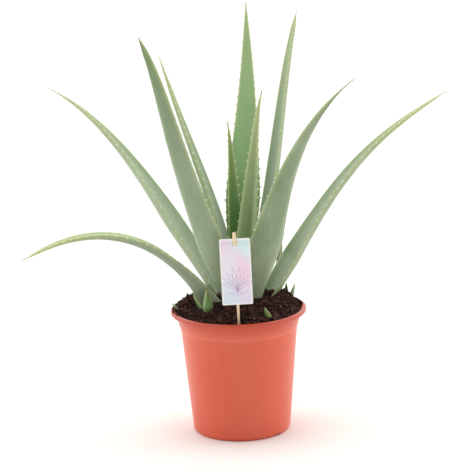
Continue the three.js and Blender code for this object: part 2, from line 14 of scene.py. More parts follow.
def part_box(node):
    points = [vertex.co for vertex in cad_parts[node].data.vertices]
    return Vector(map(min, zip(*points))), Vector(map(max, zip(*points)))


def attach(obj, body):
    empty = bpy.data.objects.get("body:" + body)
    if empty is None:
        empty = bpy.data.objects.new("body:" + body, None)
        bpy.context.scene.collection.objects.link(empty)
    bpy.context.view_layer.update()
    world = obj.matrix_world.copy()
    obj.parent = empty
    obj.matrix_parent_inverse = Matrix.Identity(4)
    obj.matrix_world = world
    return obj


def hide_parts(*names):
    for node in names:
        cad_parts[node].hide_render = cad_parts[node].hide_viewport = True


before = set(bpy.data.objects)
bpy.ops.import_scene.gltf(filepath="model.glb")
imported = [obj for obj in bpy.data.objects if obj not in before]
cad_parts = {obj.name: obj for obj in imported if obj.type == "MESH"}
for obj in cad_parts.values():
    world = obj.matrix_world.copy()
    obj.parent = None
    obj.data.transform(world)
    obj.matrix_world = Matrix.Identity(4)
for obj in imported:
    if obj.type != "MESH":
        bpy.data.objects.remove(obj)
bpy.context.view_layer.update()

MM = 0.001

# ---- driving values

# Each leaf's colours: upper face, underside, tip, share of bloom below and brown length at the tip.
LEAVES = {
    "leaf_inner_left": ("6A9550", "85A66E", "9DAC66", 0.2, 3),
    "leaf_inner_front": ("7A9A5C", "93A872", "C2CB90", 0.3, 9),
    "leaf_centre_back": ("9CC288", "8CA47C", "A8C286", 0.3, 4),
    "leaf_back_right": ("7C9670", "94A886", "A0AE72", 0.45, 4),
    "leaf_back_left": ("6C8C5C", "8FA37C", "9DAC68", 0.45, 4),
    "leaf_front_left": ("6E8B5E", "8A9D7A", "6F8858", 0.4, 4),
    "leaf_front_right": ("5F7D4A", "80946F", "788C64", 0.5, 4),
    "leaf_upper_left": ("76905F", "95A886", "9FAC66", 0.45, 5),
    "leaf_far_right": ("6A8650", "8B9D72", "B3BF70", 0.45, 6),
    "leaf_arching_left": ("A0BA74", "788C70", "B6C076", 0.4, 7),
}
SHOOTS = {
    "offset_left_dark": ("2F4D18", "3F6324", "567232", 0.15, 1.0),
    "offset_left_bright": ("4E762C", "5A8430", "7B6A3E", 0.15, 5.0),
    "offset_front_right": ("3A6020", "5E8C36", "62843A", 0.15, 1.0),
    "offset_rim_left": ("2F4122", "3A4B2B", "4A5232", 0.15, 1.5),
    "offset_back_left": ("445731", "566A3C", "5E643A", 0.15, 1.2),
    "offset_back_tall": ("4E6B38", "5F7D48", "6C7A44", 0.15, 2.0),
    "offset_back_right": ("3F5C28", "527035", "5A6A38", 0.15, 1.5),
    "offset_rim_right": ("3F5C28", "527035", "5A6A38", 0.15, 1.5),
}
RING = 12  # points in a CAD leaf section: five across the upper face, then seven round the underside
UPPER_RUN = 5
UPPER_POINTS = 13  # points of a fine skin's section across the upper face
UNDER_POINTS = 19  # and across the underside
LEAF_SKIN = {"tooth": 2.2 * MM, "spacing": 11 * MM, "step": 2.5 * MM, "wave": 0.22 * MM}
SHOOT_SKIN = {"tooth": 0.5 * MM, "spacing": 3.4 * MM, "step": 0.7 * MM, "wave": 0.12 * MM}
TOOTHED = (0.07, 0.955)  # the shares of a leaf's length between which its margins carry teeth

POT_LOW, POT_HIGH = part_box("pot")
POT_HEIGHT = POT_HIGH.z
RIM_RADIUS = (POT_HIGH.x - POT_LOW.x) / 2
WALL = 1.4 * MM
RIM_WIDTH = 4.8 * MM
RIM_HEIGHT = 4.4 * MM
RIM_INSIDE = RIM_RADIUS - RIM_WIDTH
COLLAR_TOP = 69.2 * MM
COLLAR_BOTTOM = 65.3 * MM
COLLAR_HEIGHT = 17.2 * MM
STEP = 0.8 * MM
STEP_Z = POT_HEIGHT - RIM_HEIGHT - COLLAR_HEIGHT
WALL_BOTTOM = 54.2 * MM
FOOT_RADIUS = 51.5 * MM
FOOT_HEIGHT = 3 * MM
CHANNEL = (30 * MM, 46 * MM)  # the raised ring in the underside
CHANNEL_DEPTH = 3 * MM
CHANNEL_SLOPE = 1.5 * MM
POT_SEGMENTS = 144
CORNER_STEPS = 5
NOTCH_COUNT = 3
NOTCH_ANGLE = 317  # degrees round to the first notch through the foot
NOTCH_WIDTH = 9 * MM
NOTCH_HEIGHT = 2.4 * MM
NOTCH_REACH = 22 * MM
SLOT_COUNT = 9
SLOT_LENGTH = 10 * MM
SLOT_WIDTH = 3 * MM

PEAT_EDGE_DROP = 1.8 * MM
PEAT_FRONT_DROP = 2.4 * MM
PEAT_DOME = 15.8 * MM
PEAT_RADIUS = 68 * MM
PEAT_OUTSIDE = 69.9 * MM
PEAT_TO_WALL = 0.3 * MM
PEAT_HEAPS = [
    # x, y, height, spread
    (53, 20, 10, 14), (20, -14, 4, 9), (33, 6, -4, 9), (-61, 10, 8.5, 14),
    (-48, 30, 5, 14), (0, -62, -5, 20), (12, 58, 3, 15),
]
PEAT_SIDE_GAP = 0.4 * MM
PEAT_GRID = 190  # points along each side of the top's grid
CRUMBS = 2300
CRUMB_KINDS = 12
SPILLED_CRUMBS = 300
FIBRES = 420
FIBRE_STEPS = 8
FIBRE_SIDES = 5
# Where loose peat lies on the rim: degrees round from +X, spread and how far out it reaches.
SPILLS = [(172, 14, 3.6 * MM), (20, 12, 2.2 * MM), (150, 12, 2.4 * MM)]

CARD_THICKNESS = 0.5 * MM
CARD_CORNER = 1.2 * MM
CARD_BEND = (66.4 * MM, 70.4 * MM)  # the heights between which the card steps back behind the stick
CARD_STEP_BACK = 2.6 * MM
CARD_SLOT = (65.9 * MM, 70.9 * MM)
CARD_SLOT_HALF = 2.25 * MM
CARD_SLOT_X = 16.5 * MM
CARD_CELL = 1.1 * MM
MOTIF_LEANS = (-62, -44, -27, -11, 6, 22, 39, 57)  # degrees, of the sketched leaves
MOTIF_LIFT = 0.03 * MM

LIGHTS = [
    # name, place, size, power
    ("top", (-0.2, -0.2, 2.6), (1.6, 1.2), 8),
    ("left", (-2.2, 0.1, 1.0), (1.2, 1.4), 3),
    ("right", (2.2, 0.3, 1.0), (1.2, 1.4), 5),
]
LIGHT_AIM = Vector((0, 0, 0.2))
FLOOR_REACH = 20.0
# The sky's strength grows from the front of the scene to its back.
WORLD_RANGE = {"From Min": -0.95, "From Max": 0.3, "To Min": 0.25, "To Max": 1.5}
CAMERA_DISTANCE = 2.2
CAMERA_HEIGHT_ANGLE = 13.04
CAMERA_ROLL = -1.87
CAMERA_AIM = Vector((-0.0012, 0, 0.2209))
CAMERA_LENS = 153.3

# ---- meshes


def rows(points):
    """Points as an array with three columns."""
    return np.array(points, float).reshape(-1, 3)


def unit(vectors):
    """The vectors with a length of 1."""
    lengths = np.linalg.norm(vectors, axis=-1, keepdims=True)
    return vectors / np.maximum(lengths, 1e-12)


def smooth(share):
    """An even step from 0 to 1 as share goes from 0 to 1."""
    share = np.clip(share, 0, 1)
    return share * share * (3 - 2 * share)


def put_in_scene(name, data):
    thing = bpy.data.objects.new(name, data)
    bpy.context.scene.collection.objects.link(thing)
    return thing


def give_values(mesh, key, data):
    """Gives a mesh's points numbers or vectors that its material reads."""
    data = np.asarray(data, np.float32)
    if data.ndim == 1:
        mesh.attributes.new(key, "FLOAT", "POINT").data.foreach_set("value", data)
    else:
        mesh.attributes.new(key, "FLOAT_VECTOR", "POINT").data.foreach_set("vector", data.ravel())


def build(name, points, faces, material, replaces=(), values=None):
    """A shaded piece on the root body, with values for its points."""
    mesh = bpy.data.meshes.new(name)
    mesh.from_pydata([tuple(p) for p in points], [], faces)
    mesh.update()
    mesh.polygons.foreach_set("use_smooth", [True] * len(mesh.polygons))
    for key, data in (values or {}).items():
        give_values(mesh, key, data)
    mesh.materials.append(material)
    piece = put_in_scene(name, mesh)
    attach(piece, "root")
    if replaces:
        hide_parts(*replaces)
    return piece


def bridge(low, high):
    """Faces between two loops of point numbers."""
    after = [*range(1, len(low)), 0]
    return [(low[i], low[k], high[k], high[i]) for i, k in enumerate(after)]


def loops(start, rings, sides):
    """The point numbers of a number of rings, ring by ring."""
    return [range(start + k * sides, start + (k + 1) * sides) for k in range(rings)]


def strand_faces(start, rings, sides):
    """Faces of a closed strand: its sides and its two ends."""
    numbers = loops(start, rings, sides)
    sides = [face for low, high in zip(numbers, numbers[1:]) for face in bridge(low, high)]
    return [*sides, numbers[0][::-1], numbers[-1]]


def spline(knots, values, at):
    """The smooth curve through values at knots, read at other places."""
    values = np.asarray(values, float)
    slopes = np.gradient(values, knots, axis=0)
    low = np.clip(np.searchsorted(knots, at, side="right") - 1, 0, len(knots) - 2)
    span = knots[low + 1] - knots[low]
    t = (at - knots[low]) / span
    if values.ndim > 1:
        span, t = span[:, None], t[:, None]
    start = (1 + 2 * t) * (1 - t) ** 2 * values[low] + t * (1 - t) ** 2 * span * slopes[low]
    end = t * t * (3 - 2 * t) * values[low + 1] + t * t * (t - 1) * span * slopes[low + 1]
    return start + end


# ---- materials


def srgb(code):
    """A hexadecimal colour as a linear one."""
    parts = [int(code[i:i + 2], 16) / 255 for i in (0, 2, 4)]
    linear = [p / 12.92 if p <= 0.04045 else ((p + 0.055) / 1.055) ** 2.4 for p in parts]
    return (*linear, 1.0)


class Surface:
    """A material, and the few kinds of node that these materials are made of."""

    def __init__(self, name, constants):
        self.material = bpy.data.materials.new(name)
        self.material.use_nodes = True
        self.nodes = self.material.node_tree.nodes
        self.links = self.material.node_tree.links
        self.shader = self.nodes["Principled BSDF"]
        for socket, value in constants.items():
            self.shader.inputs[socket].default_value = value
        self.here = self.add("TexCoord").outputs["Object"]

    def feed(self, socket, value):
        if isinstance(value, bpy.types.NodeSocket):
            self.links.new(value, socket)
        elif isinstance(value, str):
            socket.default_value = srgb(value)
        else:
            socket.default_value = value

    def add(self, kind, inputs=None, **settings):
        node = self.nodes.new("ShaderNode" + kind)
        for key, value in settings.items():
            setattr(node, key, value)
        for key, value in (inputs or {}).items():
            self.feed(node.inputs[key], value)
        return node

    def value(self, name, output="Fac"):
        return self.add("Attribute", attribute_name=name).outputs[output]

    def stretch(self, vector, scale):
        return self.add("Mapping", {"Vector": vector, "Scale": scale}).outputs["Vector"]

    def noise(self, scale, detail, rough, at=None):
        inputs = {"Vector": at or self.here, "Scale": scale, "Detail": detail, "Roughness": rough}
        return self.add("TexNoise", inputs).outputs["Fac"]

    def cells(self, scale, at=None):
        return self.add("TexVoronoi", {"Vector": at or self.here, "Scale": scale}).outputs["Distance"]

    def ramp(self, value, low, high):
        """0 at low and before it, 1 at high and past it, and an even step between them."""
        inputs = {"Value": value, "From Min": low, "From Max": high}
        return self.add("MapRange", inputs, interpolation_type="SMOOTHSTEP").outputs["Result"]

    def math(self, operation, a, b):
        return self.add("Math", {0: a, 1: b}, operation=operation).outputs["Value"]

    def line(self, value, slope, start):
        """start, and slope times value more."""
        return self.math("ADD", self.math("MULTIPLY", value, slope), start)

    def blend(self, share, a, b):
        return self.add("Mix", {0: share, 6: a, 7: b}, data_type="RGBA").outputs[2]

    def lay(self, color, share, amount, over):
        """color with the colour over laid on it where share says, as far as amount."""
        return self.blend(self.math("MULTIPLY", share, amount), color, over)

    def bump(self, height, distance, strength, over=None):
        inputs = {"Height": height, "Distance": distance, "Strength": strength}
        if over:
            inputs["Normal"] = over
        return self.add("Bump", inputs).outputs["Normal"]

    def finish(self, color, roughness, normal=None):
        self.feed(self.shader.inputs["Base Color"], color)
        self.feed(self.shader.inputs["Roughness"], roughness)
        if normal:
            self.feed(self.shader.inputs["Normal"], normal)
        return self.material


def leaf_material(name, upper, under, tip, bloom, brown):
    """Waxy leaf skin. The leaf's mesh carries along, end, face, rim, tooth and skin."""
    surface = Surface(name, {
        "Specular IOR Level": 0.6, "Sheen Weight": 0.3, "Sheen Roughness": 0.3,
        "Subsurface Weight": 0.05, "Subsurface Scale": 0.003,
    })
    skin = surface.value("skin", "Vector")
    streaks = surface.noise(900, 4, 0.65, at=surface.stretch(skin, (1, 0.035, 1)))
    fine = surface.noise(520, 3, 0.6, at=skin)
    patches = surface.noise(34, 4, 0.6, at=surface.stretch(skin, (1, 0.45, 1)))
    along = surface.value("along")
    face = surface.value("face")

    darker = surface.blend(surface.ramp(patches, 0.35, 0.7), upper, under)
    green = surface.lay(upper, streaks, 0.5, darker)
    waxy = surface.blend(surface.ramp(patches, 0.3, 0.75), under, "B4C2AC")
    pale = surface.blend(bloom, under, waxy)
    pale = surface.lay(pale, surface.ramp(streaks, 0.5, 0.72), 0.3, upper)
    broad = surface.noise(17, 3, 0.55, at=surface.stretch(skin, (1, 0.6, 1)))
    blotches = surface.ramp(broad, 0.52, 0.72)
    pale = surface.lay(pale, blotches, 0.45, upper)
    color = surface.blend(face, pale, green)

    base = surface.ramp(along, 0.16, 0.0)
    color = surface.lay(color, base, 0.4, "A3B08C")
    toward_tip = surface.ramp(along, 0.5, 1.0)
    color = surface.lay(color, toward_tip, 0.75, tip)

    fleck_place = surface.stretch(skin, (1, 0.32, 1))
    flecks = surface.ramp(surface.cells(240, at=fleck_place), 0.2, 0.08)
    thinned = surface.math("MULTIPLY", flecks, surface.ramp(patches, 0.5, 0.62))
    color = surface.lay(color, thinned, 0.35, "C9D4B4")
    scars = surface.ramp(surface.cells(31, at=skin), 0.05, 0.03)
    color = surface.lay(color, scars, 0.45, "7E7A50")

    color = surface.lay(color, surface.value("rim"), 0.85, "C2D391")
    color = surface.blend(surface.value("tooth"), color, "EFF3D6")
    browning = surface.ramp(surface.value("end"), brown * MM, 0.3 * brown * MM)
    color = surface.blend(browning, color, "8A6A3E")

    roughness = surface.line(fine, 0.16, 0.3)
    ridges = surface.bump(streaks, 0.00016, 0.5)
    grain = surface.bump(fine, 0.00012, 0.35, over=ridges)
    return surface.finish(color, roughness, grain)


def pot_material():
    """Satin terracotta-coloured plastic, with faint flow marks and specks, a painted highlight on its
    high edges and painted shade on its rim.
    """
    surface = Surface("pot_plastic", {
        "Specular IOR Level": 0.5, "Coat Weight": 0.12, "Coat Roughness": 0.3,
    })
    broad = surface.noise(14, 3, 0.5)
    upright = surface.noise(160, 3, 0.6, at=surface.stretch(surface.here, (1, 1, 0.06)))
    level = surface.noise(220, 2, 0.5, at=surface.stretch(surface.here, (0.04, 0.04, 1)))
    specks = surface.cells(380)
    color = surface.blend(surface.ramp(broad, 0.3, 0.7), "DF5838", "E26042")
    color = surface.lay(color, upright, 0.18, "EA7C60")
    color = surface.lay(color, surface.ramp(specks, 0.12, 0.04), 0.3, "B5452C")
    # painted highlight: the rim's outer face and the step's edge are made lighter
    color = surface.lay(color, surface.value("painted_edge_highlight"), 0.3, "F0967C")
    # painted shade: the rim is made darker, with a painted shadow just under it
    color = surface.lay(color, surface.value("rim_painted_shade"), 0.75, "BE3E20")
    marks = surface.line(level, 0.5, surface.math("MULTIPLY", upright, 0.6))
    normal = surface.bump(marks, 0.00025, 0.35)
    normal = surface.bump(surface.noise(1500, 2, 0.6), 0.00006, 0.4, over=normal)
    roughness = surface.line(upright, 0.16, 0.3)
    return surface.finish(color, roughness, normal)


def peat_material(name, light):
    """Dark peat. Each crumb or fibre has its own tint from 0 to 1."""
    surface = Surface(name, {"Specular IOR Level": 0.25})
    tint = surface.value("tint")
    grain = surface.noise(900, 4, 0.7)
    clumps = surface.noise(120, 3, 0.6)
    color = surface.blend(surface.ramp(clumps, 0.35, 0.7), "1A1210", "3B221A")
    color = surface.blend(surface.ramp(tint, 0.35, 0.75), color, "52302A")
    color = surface.lay(color, surface.ramp(tint, 0.7, 0.9), light, "6E4A3A")
    color = surface.blend(surface.ramp(tint, 0.955, 0.99), color, "B9A58C")
    color = surface.lay(color, surface.ramp(grain, 0.45, 0.7), 0.4, "120C0A")
    normal = surface.bump(grain, 0.0006, 0.8)
    return surface.finish(color, surface.ramp(grain, -2.2, 0.8), normal)


def wood_material():
    """Pale planed wood with its grain along the stick."""
    surface = Surface("stick_wood", {"Specular IOR Level": 0.3})
    along = surface.stretch(surface.here, (1, 1, 0.03))
    bands = surface.noise(1600, 3, 0.6, at=along)
    pores = surface.noise(5200, 2, 0.6, at=along)
    color = surface.blend(surface.ramp(bands, 0.3, 0.7), "FFEFCB", "F6DEAE")
    color = surface.lay(color, surface.ramp(pores, 0.55, 0.8), 0.4, "CFA870")
    normal = surface.bump(pores, 0.00012, 0.5)
    return surface.finish(color, surface.line(bands, 0.2, 0.5), normal)


def root_material():
    """Fibrous tan skin of the buried stem and roots."""
    surface = Surface("root_skin", {"Specular IOR Level": 0.3})
    rough = surface.noise(260, 4, 0.65)
    rings = surface.noise(420, 2, 0.5, at=surface.stretch(surface.here, (0.2, 0.2, 1)))
    color = surface.blend(surface.ramp(rough, 0.35, 0.7), "B79A68", "8A6E45")
    color = surface.lay(color, rings, 0.5, "6E5534")
    return surface.finish(color, 0.8, surface.bump(rough, 0.0008, 0.7))


def card_material():
    """Coated card with a pastel wash: the mesh carries card, its place across and up the card."""
    surface = Surface("label_card", {
        "Specular IOR Level": 0.5, "Coat Weight": 0.25, "Coat Roughness": 0.18,
    })
    place = surface.value("card", "Vector")
    split = surface.add("SeparateXYZ", {"Vector": place})
    across, up = split.outputs["X"], split.outputs["Y"]
    wobble = surface.noise(2.2, 2, 0.5, at=place)
    drift = surface.line(wobble, 0.35, up)
    low = surface.blend(across, "DDF0FE", "F1E9FD")
    middle = surface.blend(surface.ramp(across, 0.1, 0.85), "F3F1FE", "FEE2F4")
    high = surface.blend(surface.ramp(across, 0.1, 0.8), "FAE4F8", "E2FAFA")
    color = surface.blend(surface.ramp(drift, 0.25, 0.62), low, middle)
    color = surface.blend(surface.ramp(drift, 0.8, 1.08), color, high)
    color = surface.blend(surface.value("border"), color, "FFFFFF")
    fibre = surface.noise(2600, 3, 0.6)
    color = surface.lay(color, fibre, 0.04, "D2CFE0")
    roughness = surface.line(fibre, 0.12, 0.28)
    return surface.finish(color, roughness, surface.bump(fibre, 0.00002, 0.3))


def ink_material():
    """Thin grey-violet printing ink."""
    surface = Surface("label_ink", {"Specular IOR Level": 0.4})
    fade = surface.noise(160, 3, 0.6)
    color = surface.blend(surface.ramp(fade, 0.3, 0.7), "A893C8", "C7A3CC")
    return surface.finish(color, surface.line(fade, 0.1, 0.35))


# ---- leaves


def cad_rings(node):
    """A leaf solid's sections from base to tip, 12 points each in one order, and its tip point."""
    shape = bmesh.new()
    shape.from_mesh(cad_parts[node].data)
    bmesh.ops.remove_doubles(shape, verts=shape.verts, dist=2e-6)
    poles = [v for v in shape.verts if len(v.link_edges) == RING]
    tip = max(poles, key=lambda v: v.co.z)
    seen, layer, rings = {tip}, {tip}, []
    while True:
        layer = {e.other_vert(v) for v in layer for e in v.link_edges} - seen
        if len(layer) != RING:
            break
        seen |= layer
        loop = [min(layer, key=lambda v: v.index)]
        while len(loop) < RING:
            beside = [e.other_vert(loop[-1]) for e in loop[-1].link_edges]
            new = [v for v in beside if v in layer and v not in loop]
            loop.append(min(new, key=lambda v: v.index))
        rings.append(rows([v.co for v in loop]))
    tip_point = np.array(tip.co)
    shape.free()
    return in_one_order(rings[::-1]), tip_point


def in_one_order(rings):
    """Turns each ring so that 0 to 4 cross the upper face, and all rings run the same way."""
    widest = max(range(len(rings)), key=lambda k: np.ptp(rings[k], axis=0).max())
    ring = rings[widest]
    gaps = np.linalg.norm(np.roll(ring, -1, axis=0) - ring, axis=1)
    margin = min(range(RING), key=lambda i: gaps[i] + gaps[(i + UPPER_RUN) % RING])
    ring = np.roll(ring, -(margin + 1), axis=0)
    above = rings[min(widest + 1, len(rings) - 1)].mean(0)
    below = rings[max(widest - 1, 0)].mean(0)
    inward = np.cross(above - below, ring[0] - ring[UPPER_RUN - 1])
    if inward @ (ring[2] - ring[8]) < 0:
        ring = np.concatenate([ring[UPPER_RUN - 1::-1], ring[:UPPER_RUN - 1:-1]])
    ordered = {widest: ring}
    for step in (1, -1):
        k = widest + step
        while 0 <= k < len(rings):
            last = ordered[k - step] - ordered[k - step].mean(0)
            ways = (rings[k], rings[k][::-1])
            choices = [np.roll(way, turn, axis=0) for way in ways for turn in range(RING)]
            ordered[k] = max(choices, key=lambda c: float((last * (c - c.mean(0))).sum()))
            k += step
    return [ordered[k] for k in range(len(rings))]


def leaf_sections(node):
    """Spine, directions and sizes along a leaf, from base to tip, as one table with 13 columns."""
    rings, tip = cad_rings(node)
    table = []
    for ring in rings:
        right, left = (ring[0] + ring[11]) / 2, (ring[4] + ring[5]) / 2
        origin = (right + left) / 2
        inward = unit(ring[2] - ring[8])
        edge = np.linalg.norm(ring[0] - ring[11])
        channel = edge / 2 - (ring[2] - origin) @ inward
        thickness = -channel - edge / 2 - (ring[8] - origin) @ inward
        half = np.linalg.norm(right - left) / 2
        table.append([*origin, *unit(right - left), *inward, half, channel, thickness, edge])
    table.append([*tip, *table[-1][3:9], 0, 0, 0, 0])
    return np.array(table)


def tooth_places(length, spacing, first, last, dice):
    """Where the teeth of one margin stand, closer together towards the tip."""
    places = []
    at = first * length + dice.uniform(0, spacing)
    while at < last * length:
        places.append(at)
        closeness = 1 - 0.45 * smooth((at / length - 0.55) / 0.4)
        at += spacing * closeness * dice.uniform(0.8, 1.2)
    return np.array(places)


def tooth_shape(at, places, reach):
    """0 between teeth and 1 at a tooth's point."""
    nearest = np.abs(at[:, None] - places[None]).min(1)
    return np.clip(1 - nearest / reach, 0, 1) ** 1.15


# A skin's section runs across the upper face, round one margin's nose, back across the underside
# and round the other nose. SHARE is the place across, from one margin at 1 to the other at -1.
upper_share = np.cos(np.linspace(0, math.pi, UPPER_POINTS))
under_share = -np.cos(np.linspace(0, math.pi, UNDER_POINTS))
SHARE = np.concatenate([upper_share, [-1], under_share, [1]])
IS_UPPER = np.concatenate([np.ones(UPPER_POINTS), [0.5], np.zeros(UNDER_POINTS), [0.5]])
IS_NOSE = np.concatenate([np.zeros(UPPER_POINTS), [1], np.zeros(UNDER_POINTS), [1]])
IS_EDGE = (np.abs(SHARE) > 0.999) & (IS_NOSE == 0)
BY_EDGE = (np.abs(SHARE) > 0.96) & (np.abs(SHARE) < 0.999)
BOWL = 1 - SHARE**2


class LeafSkin:
    """A fine skin over a leaf's CAD sections, with toothed margins. A ring of points stands at each
    station along the leaf, and arrays have a row for each station and a column for each point."""

    def __init__(self, node, tooth, spacing, step, wave):
        self.dice = random.Random("teeth of " + node)
        self.table = leaf_sections(node)
        gaps = np.linalg.norm(np.diff(self.table[:, :3], axis=0), axis=1)
        self.knots = np.concatenate([[0], np.cumsum(gaps)])
        self.length = self.knots[-1]
        self.reach = 0.72 * tooth
        self.margins = [tooth_places(self.length, spacing, *TOOTHED, self.dice) for _ in range(2)]
        self.place_stations(step)
        self.read_sections()
        self.grow_teeth(tooth)
        self.place_points(wave)

    def place_stations(self, step):
        """Even steps along the leaf, with more of them round each tooth and at the tip."""
        length = self.length
        around_tooth = np.array([-1, -0.6, -0.25, 0, 0.25, 0.6, 1]) * self.reach
        extra = [(places[:, None] + around_tooth).ravel() for places in self.margins]
        near_tip = length - np.geomspace(0.0004, 0.012, 9)
        even = np.linspace(0, length, int(length / step))
        stations = np.sort(np.concatenate([even, near_tip, *extra]))
        stations = stations[(stations > 0) & (stations < length * 0.9992)]
        stations = np.concatenate([[0], stations[np.diff(stations, prepend=-1) > 0.12 * MM]])
        self.stations = stations[:, None]

    def read_sections(self):
        """The spine, directions and sizes of the section at each station."""
        stations = self.stations[:, 0]
        read = spline(self.knots, self.table, stations)
        origin, across, inward = read[:, :3], unit(read[:, 3:6]), read[:, 6:9]
        inward = unit(inward - (inward * across).sum(1, keepdims=True) * across)
        along = unit(np.gradient(origin, stations, axis=0))
        self.origin, self.across = origin[:, None], across[:, None]
        self.inward, self.along = inward[:, None], along[:, None]
        half, self.channel, thickness, edge = (np.maximum(read[:, [i]], 0.0) for i in (9, 10, 11, 12))
        to_tip = self.length - self.stations
        self.half = np.maximum(half, 0.0006 * np.sqrt(np.clip(to_tip / 0.004, 0, 1)))
        tip_share = np.clip(to_tip / (0.05 * self.length), 0, 1)
        self.thickness = np.maximum(thickness, 0.0008 * np.sqrt(tip_share))
        self.edge = np.minimum(np.maximum(edge, 0.0003), 0.35 * self.half)

    def grow_teeth(self, tooth):
        """How far each point is part of a tooth, from 0 to about 1, and the teeth's size by station."""
        grown = []
        for places in self.margins:
            heights = [0, *(self.dice.uniform(0.5, 1.15) for _ in places), 0]
            strong = np.interp(self.stations[:, 0], [0, *places, self.length], heights)
            grown.append(tooth_shape(self.stations[:, 0], places, self.reach) * strong)
        self.tooth = np.where(SHARE > 0, grown[0][:, None], grown[1][:, None])
        size = tooth * (0.35 + 0.65 * smooth(self.stations / (0.2 * self.length)))
        self.size = size * (1 - 0.6 * smooth((self.stations / self.length - 0.6) / 0.38))

    def place_points(self, wave):
        """The skin's points, with a slight unevenness of the height wave."""
        outward = self.tooth * self.size * (IS_NOSE + 0.4 * IS_EDGE)
        half_edge = (1 - 0.75 * self.tooth * IS_EDGE) * self.edge / 2
        upper = half_edge - self.channel * BOWL
        under = -self.channel * BOWL - self.thickness * BOWL**0.75 - half_edge
        height = np.where(IS_UPPER == 1, upper, np.where(IS_UPPER == 0, under, 0))
        self.side = SHARE * self.half + np.sign(SHARE) * (outward + IS_NOSE * self.edge * 0.4)
        forward = 0.45 * self.tooth * self.size * IS_NOSE
        points = self.origin + self.across * self.side[..., None] + self.inward * height[..., None]
        points = points + self.along * forward[..., None]

        places = [Vector(p) for p in points.reshape(-1, 3)]
        ripple = np.array([noise.noise(p * 42) + 0.4 * noise.noise(p * 130) for p in places])
        fade = np.clip(self.half / 0.008, 0, 1) * BOWL**0.5
        push = np.where(IS_UPPER == 1, 1.0, -1.0) * ripple.reshape(fade.shape) * fade * wave
        self.points = points + self.inward * push[..., None]

    def all_points(self):
        """The rings' points, then the middle of the base and the tip."""
        depth = self.channel[0] + self.thickness[0] / 2
        base = self.origin[0] - self.inward[0] * depth
        return np.concatenate([self.points.reshape(-1, 3), base, self.table[-1:, :3]])

    def faces(self):
        """Bridges between the rings, and fans from the base and to the tip."""
        rings, count = self.side.shape
        numbers = loops(0, rings, count)
        faces = [face for low, high in zip(numbers, numbers[1:]) for face in bridge(low, high)]
        base, tip, last = rings * count, rings * count + 1, numbers[-1]
        for i in range(count):
            after = (i + 1) % count
            faces += [(base, after, i), (tip, last[i], last[after])]
        return faces

    def values(self):
        """What the leaf's material reads: each is for the rings' points, then the base and the tip."""
        shape = self.side.shape
        from_margin = self.half * (1 - np.abs(SHARE))
        rim = np.exp(-((from_margin / 0.0008) ** 2)) * np.where(IS_UPPER >= 0.5, 1.0, 0.45)
        toothed = smooth(1.6 * self.tooth * (IS_NOSE + 0.6 * IS_EDGE + 0.22 * BY_EDGE))
        fields = {
            "along": (self.stations / self.length, 0, 1),
            "end": (self.length - self.stations, self.length, 0),
            "face": (IS_UPPER, 0, 1),
            "rim": (rim, 0, 0),
            "tooth": (toothed, 0, 0),
        }
        values = {}
        for key, (data, base, tip) in fields.items():
            values[key] = np.concatenate([np.broadcast_to(data, shape).ravel(), [base, tip]])
        parts = (self.side, self.stations, IS_UPPER * 0.5 + 0.1)
        skin = np.stack([np.broadcast_to(part, shape) for part in parts], axis=-1).reshape(-1, 3)
        skin = skin + [0, 0, self.dice.uniform(0, 9)]
        values["skin"] = np.concatenate([skin, skin[:1], skin[-1:]])
        return values


def make_leaves():
    for table, sizes, slot in ((LEAVES, LEAF_SKIN, "leaf"), (SHOOTS, SHOOT_SKIN, "offset_leaf")):
        for node, colors in table.items():
            skin = LeafSkin(node, **sizes)
            material = leaf_material("skin_" + node, *colors)
            points, faces, values = skin.all_points(), skin.faces(), skin.values()
            build(node + "_skin", points, faces, material, [node], values)


# ---- pot


def rounded(corners):
    """An outline with each corner rounded. A corner is radius, height and rounding."""
    line = []
    for i, (x, z, radius) in enumerate(corners):
        here = np.array([x, z])
        if radius == 0 or i in (0, len(corners) - 1):
            line.append(here)
            continue
        before, after = np.array(corners[i - 1][:2]), np.array(corners[i + 1][:2])
        room = 0.48 * min(np.linalg.norm(before - here), np.linalg.norm(after - here))
        start = here + (before - here) / np.linalg.norm(before - here) * min(radius, room)
        end = here + (after - here) / np.linalg.norm(after - here) * min(radius, room)
        for t in np.linspace(0, 1, CORNER_STEPS + 1):
            line.append((1 - t) ** 2 * start + 2 * t * (1 - t) * here + t * t * end)
    return line


def pot_outline():
    """Half of the pot's section: up its outside from the axis, and down its inside."""
    wall_top = COLLAR_BOTTOM - STEP
    rim_low = POT_HEIGHT - RIM_HEIGHT
    inside_floor = CHANNEL_DEPTH + WALL
    inner, outer = CHANNEL
    return rounded([
        (0, 0, 0), (inner, 0, 0.6 * MM), (inner + CHANNEL_SLOPE, CHANNEL_DEPTH, 0.6 * MM),
        (outer - CHANNEL_SLOPE, CHANNEL_DEPTH, 0.6 * MM), (outer, 0, 0.6 * MM),
        (FOOT_RADIUS, 0, 0.5 * MM), (WALL_BOTTOM, FOOT_HEIGHT, 1.2 * MM),
        (wall_top, STEP_Z, 0.5 * MM), (COLLAR_BOTTOM, STEP_Z + STEP, 0.4 * MM),
        (COLLAR_TOP, rim_low, 0.5 * MM), (RIM_RADIUS, rim_low, 1.4 * MM),
        (RIM_RADIUS, POT_HEIGHT, 1.5 * MM), (RIM_INSIDE, POT_HEIGHT, 1.2 * MM),
        (COLLAR_TOP - WALL, rim_low - WALL, 1.5 * MM), (COLLAR_BOTTOM - WALL, STEP_Z + STEP, 0.5 * MM),
        (wall_top - WALL, STEP_Z, 0.5 * MM), (WALL_BOTTOM - WALL, inside_floor, 1.2 * MM),
        (inner, inside_floor, 0.8 * MM), (inner - CHANNEL_SLOPE, WALL, 0.8 * MM), (0, WALL, 0),
    ])


